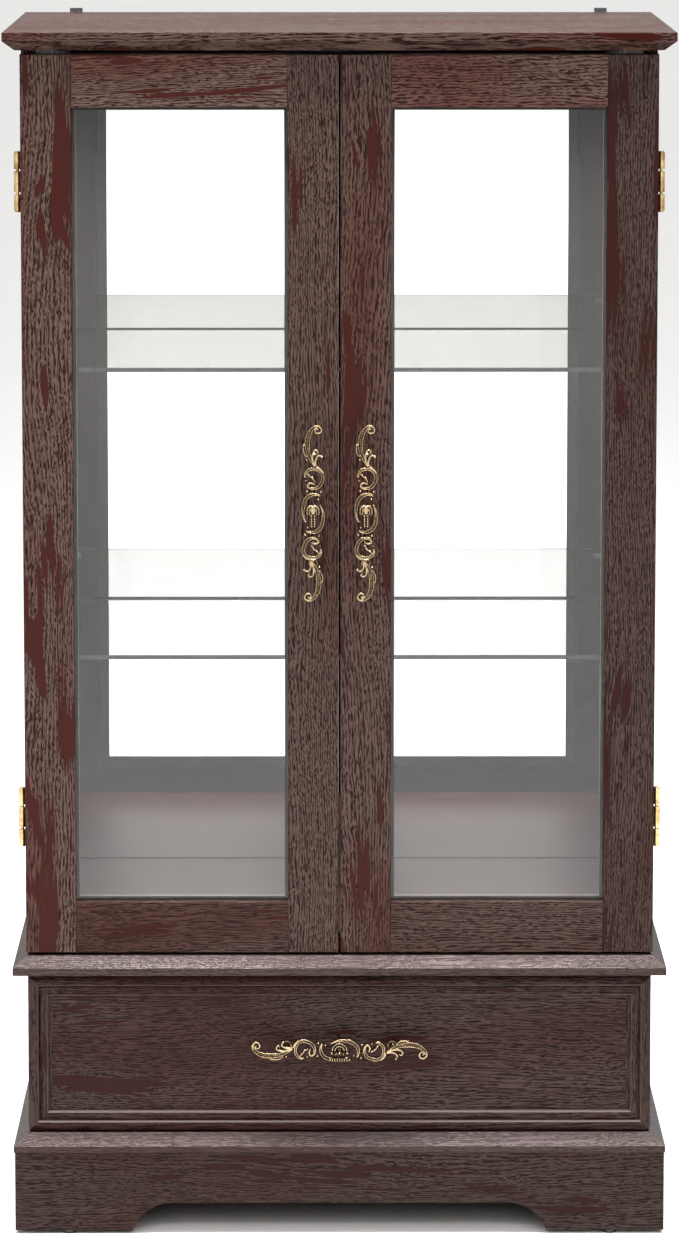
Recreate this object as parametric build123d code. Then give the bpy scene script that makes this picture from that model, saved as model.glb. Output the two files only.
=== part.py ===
"""China cabinet: two glazed doors over a mirrored display case, one drawer below.

Units are millimetres. X runs across the front, Y from front to back and Z upwards.
The origin is at floor level, under the middle of the whole box.
"""

import os

from build123d import *

# ---- overall sizes ---------------------------------------------------------------------------
TOP_WIDTH = 600.0
LEDGE_WIDTH = 594.0
CARCASS_WIDTH = 570.0
BODY_DEPTH = 336.0        # from the closed doors' faces to the rear of the back panels
HANDLE_PROJECTION = 23.0
BRACKET_PROJECTION = 3.6  # wall brackets and their screw heads
TOTAL_DEPTH = HANDLE_PROJECTION + BODY_DEPTH + BRACKET_PROJECTION
FRONT = HANDLE_PROJECTION - TOTAL_DEPTH / 2
BACK = FRONT + BODY_DEPTH

SIDE_THICKNESS = 13.0
DOOR_THICKNESS = 18.0
BACK_THICKNESS = 3.0
BACK_MARGIN = 1.0         # back panels stop this short of the carcass sides
HINGE_GAP = 2.4           # space between a closed door and the carcass edge
CARCASS_FRONT = FRONT + DOOR_THICKNESS + HINGE_GAP
CARCASS_BACK = BACK - BACK_THICKNESS
HALF_CARCASS = CARCASS_WIDTH / 2
HALF_INSIDE = HALF_CARCASS - SIDE_THICKNESS

# ---- heights above the floor -----------------------------------------------------------------
GLIDE_HEIGHT = 3.5
BASE_BOTTOM = 76.0
BASE_TOP = 92.0
WAIST_BOTTOM = 241.0
WAIST_TOP = 258.0
FLOOR_TOP = 273.0
TOP_BOTTOM = 1081.0
TOP_TOP = 1097.5
SHELF_TOPS = (530.0, 793.0)

# ---- wide boards -----------------------------------------------------------------------------
TOP_OVERHANG = 14.0       # top board in front of the doors
LEDGE_OVERHANG = 12.0     # waist and base boards in front of the doors
TOP_LIP = 7.8             # upright part of the top board's edge
LEDGE_LIP = 7.0
BASE_LIP = 6.0
TOP_BEVEL_RUN = 10.7
LEDGE_BEVEL_RUN = 13.4
EDGE_BREAK = 0.6          # narrow flats along the boards' sharp edges

# ---- plinth ----------------------------------------------------------------------------------
PLINTH_THICKNESS = 15.0
PLINTH_SETBACK = 1.0
CUTOUT_HALF_TOP = 152.0
CUTOUT_HALF_BOTTOM = 189.0
CUTOUT_HEIGHT = 25.5
GLIDE_RADIUS = 6.0
GLIDE_X = 247.0

# ---- doors -----------------------------------------------------------------------------------
DOOR_BOTTOM = 260.0
DOOR_TOP = 1077.0
HALF_DOOR_GAP = 1.0
STILE_WIDTH = 45.5
RAIL_WIDTH = 47.0
RABBET_WIDTH = 8.0
GLASS_FRONT = FRONT + 8.0
GLASS_THICKNESS = 4.0
GLASS_PLAY = 0.8
RETAINER_OVERLAP = 3.0    # how far the retainer strips show inside the opening
ARRIS = 0.5               # softened front edges

# ---- hinges ----------------------------------------------------------------------------------
HINGE_HEIGHTS = (382.0, 962.0)
HINGE_LENGTH = 52.0
END_KNUCKLE = 14.5
MIDDLE_KNUCKLE = 18.6
KNUCKLE_RADIUS = 3.3
PIN_RADIUS = 1.5
PIN_CLEARANCE = 0.05
PIN_TIP_RADIUS = 2.5
PIN_TIP_HEIGHT = 1.4
AXIS_OUTSIDE = 3.7        # hinge axis beyond the door's outer edge
HINGE_X = HALF_CARCASS + AXIS_OUTSIDE
HINGE_Y = FRONT + DOOR_THICKNESS + HINGE_GAP / 2
LEAF = 1.0
LEAF_REVEAL = 0.1         # leaves start this far inside the carcass edge
DOOR_LEAF_REACH = 40.0
CABINET_LEAF_DEPTH = 26.0
LEAF_SCREW_INSETS = (24.4, 35.0)
LEAF_SCREW_SPACING = 37.0
LEAF_SCREW_SETBACK = 18.0  # screws in the side panels, behind the carcass front
LEAF_SCREW_LENGTH = 10.0
LEAF_SCREW_RADIUS = 1.5
LEAF_SCREW_HEAD = (2.8, 1.0)  # radius and height
PILOT_RADIUS = 1.6
PILOT_DEPTH = 9.2

# ---- handles ---------------------------------------------------------------------------------
HANDLE_X = 23.75
HANDLE_Z = 667.0
DRAWER_HANDLE_Z = 173.0
HANDLE_POST_HALF = 48.0
HANDLE_STANDOFF = 16.0    # clear space behind the handle
HANDLE_PLATE = 4.0
BOSS_HEIGHT = HANDLE_PROJECTION - HANDLE_STANDOFF - HANDLE_PLATE
BOSS_HALF_SIZE = (4.4, 9.4)
BOSS_TAPER = 25.0
POST_RADIUS = 3.2
POST_FOOT_RADIUS = 4.6
POST_FOOT_HEIGHT = 2.0
BAR = 2.6                 # width of the cast scrolls
SCREW_RADIUS = 1.9
SCREW_HOLE_RADIUS = 2.1
SCREW_HEAD = (4.0, 2.2)   # radius and height
SCREW_GRIP = 9.0          # length of screw inside a handle post

# ---- interior --------------------------------------------------------------------------------
MIRROR_THICKNESS = 4.0
SHELF_THICKNESS = 4.0
SHELF_FRONT = FRONT + 26.0
SHELF_MIRROR_GAP = 10.0
SHELF_SIDE_PLAY = 1.5
CATCH_HALF_WIDTH = 26.0
CATCH_DEPTH = 14.0
CATCH_HEIGHT = 12.0
CATCH_GAP = 0.3
STRIKE_THICKNESS = 1.5
STRIKE_HEIGHT = 8.0
STRIKE_INSET = 4.0        # from the middle of the cabinet
STRIKE_MARGIN = 2.0       # short of the catch's end
STRIKE_DROP = 1.0         # below the door's top edge
PEG_RADIUS = 2.5
PEG_REACH = 9.0
PEG_DEPTH = 8.0
FRONT_PEG_INSET = 30.0    # behind a shelf's front edge
REAR_PEG_INSET = 55.0     # in front of the back panel
BUMPER_RADIUS = 4.0
BUMPER_INSET = 12.0       # from the door's top and bottom edges
BUMPER_CLEARANCE = 0.4

# ---- drawer ----------------------------------------------------------------------------------
DRAWER_FRONT_BOTTOM = 93.5
DRAWER_FRONT_TOP = 237.5
HALF_DRAWER_FRONT = 283.5
DRAWER_RECESS = 4.0
MOULDING_CRESTS = (8.6, 17.6)   # distance of the border's two crests from the edge
OUTER_ROLL_START = 0.6
INNER_ROLL_START = 0.8
INNER_CREST = 3.4
STEP_RUN = 0.9
ROLL_RADIUS = 14.0
CREST_FLAT = 0.5          # narrow flats worn along the crests
SLIDE_SPACE = 12.5
BOX_SIDE = 12.0
BOX_BOTTOM = 108.0
BOX_HEIGHT = 110.0
BOX_LENGTH = 300.0
BOX_PANEL = 3.0
BOX_PANEL_RISE = 6.0      # above the lower edges of the drawer's sides
GROOVE_DEPTH = 5.0
GROOVE_PLAY = 0.1
SLIDE_Z = 163.0
SLIDE_SHEET = 1.0
OUTER_SLIDE_HEIGHT = 45.0
OUTER_SLIDE_REACH = 9.5
OUTER_SLIDE_ENDS = (3.0, 299.0)   # behind the carcass front
INNER_SLIDE_HEIGHT = 34.0
INNER_SLIDE_REACH = 8.0
INNER_SLIDE_ENDS = (1.6, 295.0)   # behind the carcass front, drawer shut

# ---- fittings --------------------------------------------------------------------------------
DOWEL_RADIUS = 3.0
DOWEL_HALF_LENGTH = 8.0
DOWEL_DEPTH = 8.2
DOWEL_PLAY = 0.1
DOWEL_SETBACKS = (60.0, 250.0)
CAM_RADIUS = 7.5
CAM_DEPTH = 10.0
CAM_INSET = 24.0
CAM_SETBACKS = (35.0, 275.0)
BOLT_RADIUS = 2.5
BOLT_HOLE_RADIUS = 2.8
BOLT_ANCHOR = 10.0
BRACKET_X = 251.0
BRACKET_WIDTH = 12.0
BRACKET_SHEET = 2.0
BRACKET_RISE = 4.0
BRACKET_DROP = 28.0
BRACKET_HOLE_RADIUS = 2.5
BRACKET_HOLE_RISE = 6.0   # strap hole above the bracket's lower end
BRACKET_SCREW_RADIUS = 1.6
BRACKET_SCREW_LENGTH = 16.0
BRACKET_SCREW_HEAD = (3.2, 1.6)   # radius and height
SIDES = {"left": -1, "right": 1}

parts = {}


# ---- helpers ---------------------------------------------------------------------------------
def block(x, y, z):
    """A box between two limits on each axis, given in either order."""
    size = [abs(b - a) for a, b in (x, y, z)]
    centre = [(a + b) / 2 for a, b in (x, y, z)]
    return Pos(*centre) * Box(*size)


def rod(start, direction, length, radius):
    """A cylinder from a start point along a direction."""
    along = (Align.CENTER, Align.CENTER, Align.MIN)
    return Plane(origin=start, z_dir=direction) * Cylinder(radius, length, align=along)


def headed(start, direction, length, radius, head_radius, head_height):
    """A screw or pin: a shank from the start point, with its head on the other side of it."""
    back = [-d for d in direction]
    return rod(start, direction, length, radius) + rod(start, back, head_height, head_radius)


def group(solids):
    """Several separate solids of one kind, kept in one node."""
    return Compound(children=list(solids))


def moulded_board(half_width, front, profile):
    """A wide board whose front and side edges follow a profile of (height, inset) pairs.

    Its rear edge is upright and lies at the back of the cabinet.
    """
    faces = []
    for z, inset in profile:
        size = (2 * (half_width - inset), BACK - front - inset)
        faces.append(Pos(0, (front + inset + BACK) / 2, z) * Rectangle(*size))
    return loft(faces, ruled=True)


def at_four_sides(setbacks):
    """(sign, y) for fittings placed in both side panels."""
    return [(sign, CARCASS_FRONT + setback) for sign in SIDES.values() for setback in setbacks]


# ---- carcass ---------------------------------------------------------------------------------
def dowels_between(z):
    """Dowels standing half in the board and half in the side panel, at a joint height."""
    x = HALF_CARCASS - SIDE_THICKNESS / 2
    places = at_four_sides(DOWEL_SETBACKS)
    start = z - DOWEL_HALF_LENGTH
    return [rod((s * x, y, start), (0, 0, 1), 2 * DOWEL_HALF_LENGTH, DOWEL_RADIUS) for s, y in places]


def dowel_holes(z):
    """Blind holes around the dowels of one joint."""
    x = HALF_CARCASS - SIDE_THICKNESS / 2
    places = at_four_sides(DOWEL_SETBACKS)
    radius = DOWEL_RADIUS + DOWEL_PLAY
    return group(rod((s * x, y, z - DOWEL_DEPTH), (0, 0, 1), 2 * DOWEL_DEPTH, radius) for s, y in places)


def cam_joint(z, into_side):
    """Cams, bolts and their holes where a side panel meets a board at height z.

    into_side is +1 where the side panel is above the joint and -1 where it is below.
    """
    cams, bolts, holes = [], [], []
    bolt_x = HALF_CARCASS - SIDE_THICKNESS / 2
    for sign, y in at_four_sides(CAM_SETBACKS):
        cam_z = z + into_side * CAM_INSET
        mouth = (sign * HALF_INSIDE, y, cam_z)
        outward = (sign, 0, 0)
        cam = rod(mouth, outward, CAM_DEPTH, CAM_RADIUS - DOWEL_PLAY)
        start = (sign * bolt_x, y, z - into_side * BOLT_ANCHOR)
        reach = BOLT_ANCHOR + CAM_INSET - CAM_RADIUS / 2
        up = (0, 0, into_side)
        bolt = rod(start, up, reach, BOLT_RADIUS)
        bolt_hole = rod(start, up, reach, BOLT_HOLE_RADIUS)
        cams.append(cam - bolt_hole)
        bolts.append(bolt)
        holes.append(rod(mouth, outward, CAM_DEPTH, CAM_RADIUS) + bolt_hole)
    return cams, bolts, group(holes)


def carcass():
    joints = {"waist_low": WAIST_BOTTOM, "waist_high": WAIST_TOP, "base": BASE_TOP}
    pegs_between = {name: dowel_holes(z) for name, z in joints.items()}
    top_cams, top_bolts, top_holes = cam_joint(TOP_BOTTOM, -1)
    base_cams, base_bolts, base_holes = cam_joint(BASE_TOP, 1)

    lip_bottom = TOP_TOP - TOP_LIP
    top_profile = (
        (TOP_BOTTOM, TOP_BEVEL_RUN),
        (lip_bottom, 0),
        (TOP_TOP - EDGE_BREAK, 0),
        (TOP_TOP, EDGE_BREAK),
    )
    top_board = moulded_board(TOP_WIDTH / 2, FRONT - TOP_OVERHANG, top_profile)
    parts["top_board"] = top_board - top_holes - bracket_screw_holes()

    ledges = (
        ("waist_board", WAIST_BOTTOM, LEDGE_LIP, WAIST_TOP),
        ("base_board", BASE_BOTTOM, BASE_LIP, BASE_TOP),
    )
    for name, bottom, lip, top in ledges:
        profile = (
            (bottom, EDGE_BREAK),
            (bottom + EDGE_BREAK, 0),
            (bottom + lip, 0),
            (top, LEDGE_BEVEL_RUN),
        )
        board = moulded_board(LEDGE_WIDTH / 2, FRONT - LEDGE_OVERHANG, profile)
        if name == "waist_board":
            board = board - pegs_between["waist_low"] - pegs_between["waist_high"]
        else:
            board = board - pegs_between["base"] - base_holes
        parts[name] = board

    depth = (CARCASS_FRONT, CARCASS_BACK)
    for side, sign in SIDES.items():
        across = (sign * HALF_CARCASS, sign * HALF_INSIDE)
        upper = block(across, depth, (WAIST_TOP, TOP_BOTTOM))
        upper = upper - pegs_between["waist_high"] - top_holes - peg_holes() - leaf_screw_holes()
        lower = block(across, depth, (BASE_TOP, WAIST_BOTTOM))
        lower = lower - pegs_between["waist_low"] - pegs_between["base"] - base_holes
        parts[f"upper_side_{side}"] = upper
        parts[f"lower_side_{side}"] = lower

    inside = (-HALF_INSIDE, HALF_INSIDE)
    parts["display_floor"] = block(inside, depth, (WAIST_TOP, FLOOR_TOP))
    behind = (CARCASS_BACK, BACK)
    wide = (BACK_MARGIN - HALF_CARCASS, HALF_CARCASS - BACK_MARGIN)
    parts["upper_back_panel"] = block(wide, behind, (WAIST_TOP, TOP_BOTTOM))
    parts["lower_back_panel"] = block(wide, behind, (BASE_TOP, WAIST_BOTTOM))

    pegs = [peg for z in joints.values() for peg in dowels_between(z)]
    parts["carcass_dowels"] = group(pegs)
    parts["cam_locks"] = group(top_cams + base_cams)
    parts["cam_bolts"] = group(top_bolts + base_bolts)


# ---- plinth ----------------------------------------------------------------------------------
def plinth():
    half = LEDGE_WIDTH / 2 - PLINTH_SETBACK
    front = FRONT - LEDGE_OVERHANG + PLINTH_SETBACK
    back = BACK - PLINTH_SETBACK
    height = (GLIDE_HEIGHT, BASE_BOTTOM)
    rear = front + PLINTH_THICKNESS

    run = CUTOUT_HALF_BOTTOM - CUTOUT_HALF_TOP
    radius = (run**2 + CUTOUT_HEIGHT**2) / (2 * CUTOUT_HEIGHT)
    arch_top = GLIDE_HEIGHT + CUTOUT_HEIGHT
    board = block((-half, half), (front, rear), height)
    opening = block((-CUTOUT_HALF_TOP, CUTOUT_HALF_TOP), (front, rear), (GLIDE_HEIGHT, arch_top))
    for sign in SIDES.values():
        centre = (sign * CUTOUT_HALF_TOP, front, arch_top - radius)
        shoulder = rod(centre, (0, 1, 0), PLINTH_THICKNESS, radius)
        outer = sign * (CUTOUT_HALF_TOP + radius)
        reach = block((sign * CUTOUT_HALF_TOP, outer), (front, rear), (GLIDE_HEIGHT, arch_top))
        opening += shoulder & reach
    parts["plinth_front"] = board - opening

    parts["plinth_back"] = block((-half, half), (back - PLINTH_THICKNESS, back), height)
    between = (rear, back - PLINTH_THICKNESS)
    for side, sign in SIDES.items():
        across = (sign * half, sign * (half - PLINTH_THICKNESS))
        parts[f"plinth_side_{side}"] = block(across, between, height)

    rows = (front + PLINTH_THICKNESS / 2, back - PLINTH_THICKNESS / 2)
    places = [(sign * GLIDE_X, y, 0) for sign in SIDES.values() for y in rows]
    parts["floor_glides"] = group(rod(p, (0, 0, 1), GLIDE_HEIGHT, GLIDE_RADIUS) for p in places)


# ---- mirror, shelves and their pegs ----------------------------------------------------------
def peg_places():
    """(sign, y, z) of the shelf pegs, under the glass near its four corners."""
    rows = (SHELF_FRONT + FRONT_PEG_INSET, CARCASS_BACK - REAR_PEG_INSET)
    heights = [top - SHELF_THICKNESS - PEG_RADIUS for top in SHELF_TOPS]
    return [(sign, y, z) for sign in SIDES.values() for y in rows for z in heights]


def peg_holes():
    radius = PEG_RADIUS + DOWEL_PLAY
    holes = []
    for sign, y, z in peg_places():
        holes.append(rod((sign * HALF_INSIDE, y, z), (sign, 0, 0), PEG_DEPTH + DOWEL_PLAY, radius))
    return group(holes)


def interior():
    mirror_front = CARCASS_BACK - MIRROR_THICKNESS
    half_mirror = HALF_INSIDE - DOWEL_PLAY
    parts["mirror"] = block(
        (-half_mirror, half_mirror), (mirror_front, CARCASS_BACK), (FLOOR_TOP, TOP_BOTTOM)
    )
    half_shelf = HALF_INSIDE - SHELF_SIDE_PLAY
    depth = (SHELF_FRONT, mirror_front - SHELF_MIRROR_GAP)
    for name, top in zip(("lower_glass_shelf", "upper_glass_shelf"), SHELF_TOPS):
        parts[name] = block((-half_shelf, half_shelf), depth, (top - SHELF_THICKNESS, top))

    pegs = []
    for sign, y, z in peg_places():
        start = (sign * (HALF_INSIDE + PEG_DEPTH), y, z)
        pegs.append(rod(start, (-sign, 0, 0), PEG_DEPTH + PEG_REACH, PEG_RADIUS))
    parts["shelf_pegs"] = group(pegs)

    catch_front = FRONT + DOOR_THICKNESS + STRIKE_THICKNESS + CATCH_GAP
    catch_depth = (catch_front, catch_front + CATCH_DEPTH)
    catch_height = (TOP_BOTTOM - CATCH_HEIGHT, TOP_BOTTOM)
    parts["magnetic_catch"] = block((-CATCH_HALF_WIDTH, CATCH_HALF_WIDTH), catch_depth, catch_height)
    bumper_x = HALF_CARCASS - SIDE_THICKNESS / 2
    ends = (DOOR_BOTTOM + BUMPER_INSET, DOOR_TOP - BUMPER_INSET)
    places = [(sign * bumper_x, CARCASS_FRONT, z) for sign in SIDES.values() for z in ends]
    proud = HINGE_GAP - BUMPER_CLEARANCE
    parts["door_bumpers"] = group(rod(p, (0, -1, 0), proud, BUMPER_RADIUS) for p in places)


# ---- hinges ----------------------------------------------------------------------------------
def knuckle_spans(height):
    """z limits of the lower, middle and upper knuckles of a hinge."""
    bottom = height - HINGE_LENGTH / 2
    top = height + HINGE_LENGTH / 2
    half_middle = MIDDLE_KNUCKLE / 2
    middle = (height - half_middle, height + half_middle)
    return (bottom, bottom + END_KNUCKLE), middle, (top - END_KNUCKLE, top)


def knuckle(sign, span, leaf_front, leaf_back):
    """A rolled knuckle on its neck, bored for the pin."""
    start = (sign * HINGE_X, HINGE_Y, span[0])
    length = span[1] - span[0]
    neck_end = sign * (HALF_CARCASS - LEAF_REVEAL)
    neck = block((sign * HINGE_X, neck_end), (leaf_front, leaf_back), span)
    shape = rod(start, (0, 0, 1), length, KNUCKLE_RADIUS) + neck
    return shape - rod(start, (0, 0, 1), length, PIN_RADIUS + PIN_CLEARANCE)


def leaf_screw_places(height):
    return [height + half * LEAF_SCREW_SPACING / 2 for half in (-1, 1)]


def leaf_screw(seat, direction):
    return headed(seat, direction, LEAF_SCREW_LENGTH, LEAF_SCREW_RADIUS, *LEAF_SCREW_HEAD)


def leaf_screw_holes():
    """Pilot holes in the side panels for the hinges' cabinet leaves."""
    holes = []
    y = CARCASS_FRONT + LEAF_SCREW_SETBACK
    for sign in SIDES.values():
        for height in HINGE_HEIGHTS:
            for z in leaf_screw_places(height):
                holes.append(rod((sign * HALF_INSIDE, y, z), (sign, 0, 0), PILOT_DEPTH, PILOT_RADIUS))
    return group(holes)


def cabinet_hinge_parts():
    leaf_back = CARCASS_FRONT
    leaf_front = leaf_back - LEAF
    screw_y = CARCASS_FRONT + LEAF_SCREW_SETBACK
    leaves, pins, screws = [], [], []
    for sign in SIDES.values():
        for height in HINGE_HEIGHTS:
            spans = knuckle_spans(height)
            tall = (spans[0][0], spans[2][1])
            outer = sign * (HALF_CARCASS - LEAF_REVEAL)
            inner = sign * (HALF_INSIDE - LEAF)
            leaf = block((outer, inner), (leaf_front, leaf_back), tall)
            leaf += block((sign * HALF_INSIDE, inner), (leaf_front, leaf_back + CABINET_LEAF_DEPTH), tall)
            for span in (spans[0], spans[2]):
                leaf += knuckle(sign, span, leaf_front, leaf_back)
            for z in leaf_screw_places(height):
                place = (inner, screw_y, z)
                leaf -= rod(place, (sign, 0, 0), LEAF, PILOT_RADIUS)
                screws.append(leaf_screw(place, (sign, 0, 0)))
            leaves.append(leaf)
            start = (sign * HINGE_X, HINGE_Y, tall[0])
            length = tall[1] - tall[0]
            pin = rod(start, (0, 0, 1), length, PIN_RADIUS)
            pin += rod(start, (0, 0, -1), PIN_TIP_HEIGHT, PIN_TIP_RADIUS)
            pin += rod((start[0], start[1], tall[1]), (0, 0, 1), PIN_TIP_HEIGHT, PIN_TIP_RADIUS)
            pins.append(pin)
    parts["hinge_cabinet_leaves"] = group(leaves)
    parts["hinge_pins"] = group(pins)
    parts["cabinet_leaf_screws"] = group(screws)


def door_hinge_parts(side, sign):
    """Door leaves with their screws; returns the pilot holes for the stile."""
    leaf_front = FRONT + DOOR_THICKNESS
    leaf_back = leaf_front + LEAF
    leaves, screws, holes = [], [], []
    for height in HINGE_HEIGHTS:
        spans = knuckle_spans(height)
        tall = (spans[0][0], spans[2][1])
        outer = sign * (HALF_CARCASS - LEAF_REVEAL)
        leaf = block((outer, sign * (HALF_CARCASS - DOOR_LEAF_REACH)), (leaf_front, leaf_back), tall)
        leaf += knuckle(sign, spans[1], leaf_front, leaf_back)
        for inset in LEAF_SCREW_INSETS:
            x = sign * (HALF_CARCASS - inset)
            for z in leaf_screw_places(height):
                leaf -= rod((x, leaf_front, z), (0, 1, 0), LEAF, PILOT_RADIUS)
                screws.append(leaf_screw((x, leaf_back, z), (0, -1, 0)))
                holes.append(rod((x, leaf_front, z), (0, -1, 0), PILOT_DEPTH, PILOT_RADIUS))
        leaves.append(leaf)
    parts[f"{side}_hinge_leaves"] = group(leaves)
    parts[f"{side}_leaf_screws"] = group(screws)
    return group(holes)


# ---- handles ---------------------------------------------------------------------------------
def ring(half_width, half_height, bar):
    """A flat oval loop."""
    return Ellipse(half_width, half_height) - Ellipse(half_width - bar, half_height - bar)


def handle_outline():
    """The openwork casting seen from the front, upright, centred on its own middle."""
    scroll = Spline((0, 41.5), (-5.5, 48), (-7.8, 57), (-6.6, 68), (0, 78.6), (7.4, 76.6), (4.2, 71.5))
    half = Sketch() + trace(scroll, BAR)
    half += Pos(0.4, 31.5) * ring(8.6, 10.4, BAR)
    half += Pos(-3.2, 55) * Rot(0, 0, -12) * Ellipse(5.0, 1.8)
    half += Pos(-4.8, 46) * Circle(2.4)
    half += Pos(0, 20) * Ellipse(6.8, 2.6)
    half += Pos(0, 43) * Ellipse(3.4, 5.6)
    plate = Sketch() + ring(9.6, 17.6, BAR)
    plate += Ellipse(*BOSS_HALF_SIZE)
    plate += Rectangle(15.0, 2.4)
    plate += half
    plate += Rot(0, 0, 180) * half
    return plate


def handle(centre_x, base_y, centre_z, turn):
    """A handle standing on a face at base_y; turn is 0 for upright and 90 for level."""
    place = Plane(origin=(centre_x, base_y, centre_z), x_dir=(1, 0, 0), z_dir=(0, -1, 0))
    body = Pos(0, 0, HANDLE_STANDOFF) * extrude(handle_outline(), HANDLE_PLATE)
    boss = Pos(0, 0, HANDLE_STANDOFF + HANDLE_PLATE) * Ellipse(*BOSS_HALF_SIZE)
    body += extrude(boss, BOSS_HEIGHT, taper=BOSS_TAPER)
    for half in (-1, 1):
        foot = (0, half * HANDLE_POST_HALF, 0)
        post = rod(foot, (0, 0, 1), HANDLE_STANDOFF + HANDLE_PLATE, POST_RADIUS)
        post += rod(foot, (0, 0, 1), POST_FOOT_HEIGHT, POST_FOOT_RADIUS)
        body = body + post - rod(foot, (0, 0, 1), SCREW_GRIP + DOWEL_PLAY, SCREW_RADIUS + DOWEL_PLAY)
    return place * Rot(0, 0, turn) * body


def handle_screw_places(centre_x, centre_z, turn):
    """(x, z) of a handle's two screws."""
    if turn == 0:
        return [(centre_x, centre_z + half * HANDLE_POST_HALF) for half in (-1, 1)]
    return [(centre_x + half * HANDLE_POST_HALF, centre_z) for half in (-1, 1)]


def handle_screws(places, base_y, back_y):
    """Machine screws from behind a panel into the handle's posts."""
    length = back_y - base_y + SCREW_GRIP
    inward = (0, -1, 0)
    return group(headed((x, back_y, z), inward, length, SCREW_RADIUS, *SCREW_HEAD) for x, z in places)


def handle_screw_holes(places):
    start = FRONT - DOOR_THICKNESS
    return group(rod((x, start, z), (0, 1, 0), 3 * DOOR_THICKNESS, SCREW_HOLE_RADIUS) for x, z in places)


# ---- doors -----------------------------------------------------------------------------------
def soften(member):
    """Break the sharp front edges of a flat member."""
    front_face = member.faces().sort_by(Axis.Y)[0]
    return chamfer(front_face.edges(), ARRIS)


def door(side, sign):
    outer = HALF_CARCASS
    inner = HALF_DOOR_GAP
    open_outer = outer - STILE_WIDTH
    open_inner = inner + STILE_WIDTH
    open_bottom = DOOR_BOTTOM + RAIL_WIDTH
    open_top = DOOR_TOP - RAIL_WIDTH
    depth = (FRONT, FRONT + DOOR_THICKNESS)
    back = depth[1]

    screw_places = handle_screw_places(sign * HANDLE_X, HANDLE_Z, 0)
    pilot_holes = door_hinge_parts(side, sign)
    rabbet = block(
        (sign * (open_inner - RABBET_WIDTH), sign * (open_outer + RABBET_WIDTH)),
        (GLASS_FRONT, back),
        (open_bottom - RABBET_WIDTH, open_top + RABBET_WIDTH),
    )
    tall = (DOOR_BOTTOM, DOOR_TOP)
    across = (sign * open_inner, sign * open_outer)
    members = {
        "hinge_stile": ((sign * open_outer, sign * outer), tall),
        "meeting_stile": ((sign * inner, sign * open_inner), tall),
        "top_rail": (across, (open_top, DOOR_TOP)),
        "bottom_rail": (across, (DOOR_BOTTOM, open_bottom)),
    }
    for name, (x, z) in members.items():
        member = soften(block(x, depth, z)) - rabbet
        if name == "hinge_stile":
            member -= pilot_holes
        if name == "meeting_stile":
            member -= handle_screw_holes(screw_places)
        parts[f"{side}_{name}"] = member

    reach = RABBET_WIDTH - GLASS_PLAY
    glass_back = GLASS_FRONT + GLASS_THICKNESS
    wide = (sign * (open_inner - reach), sign * (open_outer + reach))
    high = (open_bottom - reach, open_top + reach)
    parts[f"{side}_door_glass"] = block(wide, (GLASS_FRONT, glass_back), high)

    strip = reach + RETAINER_OVERLAP
    strips = []
    behind_glass = (glass_back, back)
    for z in ((high[0], high[0] + strip), (high[1] - strip, high[1])):
        strips.append(block(wide, behind_glass, z))
    between = (high[0] + strip, high[1] - strip)
    strips.append(block((wide[0], wide[0] + sign * strip), behind_glass, between))
    strips.append(block((wide[1] - sign * strip, wide[1]), behind_glass, between))
    parts[f"{side}_glass_retainers"] = group(strips)

    parts[f"{side}_handle"] = handle(sign * HANDLE_X, FRONT, HANDLE_Z, 0)
    parts[f"{side}_handle_screws"] = handle_screws(screw_places, FRONT, back)
    plate_x = (sign * STRIKE_INSET, sign * (CATCH_HALF_WIDTH - STRIKE_MARGIN))
    plate_y = (back, back + STRIKE_THICKNESS)
    plate_z = (DOOR_TOP - STRIKE_HEIGHT, DOOR_TOP - STRIKE_DROP)
    parts[f"{side}_strike_plate"] = block(plate_x, plate_y, plate_z)


# ---- drawer ----------------------------------------------------------------------------------
def moulding_profile():
    """Section of the drawer front's border: x runs inwards from the edge, y out from the field."""
    back = DRAWER_RECESS - DOOR_THICKNESS
    crest_x, inner_crest_x = MOULDING_CRESTS
    edges = Curve() + [
        Line((0, back), (0, OUTER_ROLL_START)),
        RadiusArc((0, OUTER_ROLL_START), (crest_x, DRAWER_RECESS), ROLL_RADIUS),
        Line((crest_x, DRAWER_RECESS), (crest_x + STEP_RUN, INNER_ROLL_START)),
        RadiusArc((crest_x + STEP_RUN, INNER_ROLL_START), (inner_crest_x, INNER_CREST), ROLL_RADIUS),
        Line((inner_crest_x, INNER_CREST), (inner_crest_x + STEP_RUN, 0)),
        Line((inner_crest_x + STEP_RUN, 0), (inner_crest_x + STEP_RUN, back)),
        Line((inner_crest_x + STEP_RUN, back), (0, back)),
    ]
    section = make_face(edges)
    crests = [Vector(crest_x, DRAWER_RECESS), Vector(inner_crest_x, INNER_CREST)]
    corners = [min(section.vertices(), key=lambda v: (Vector(v) - crest).length) for crest in crests]
    return chamfer(corners, CREST_FLAT)


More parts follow.
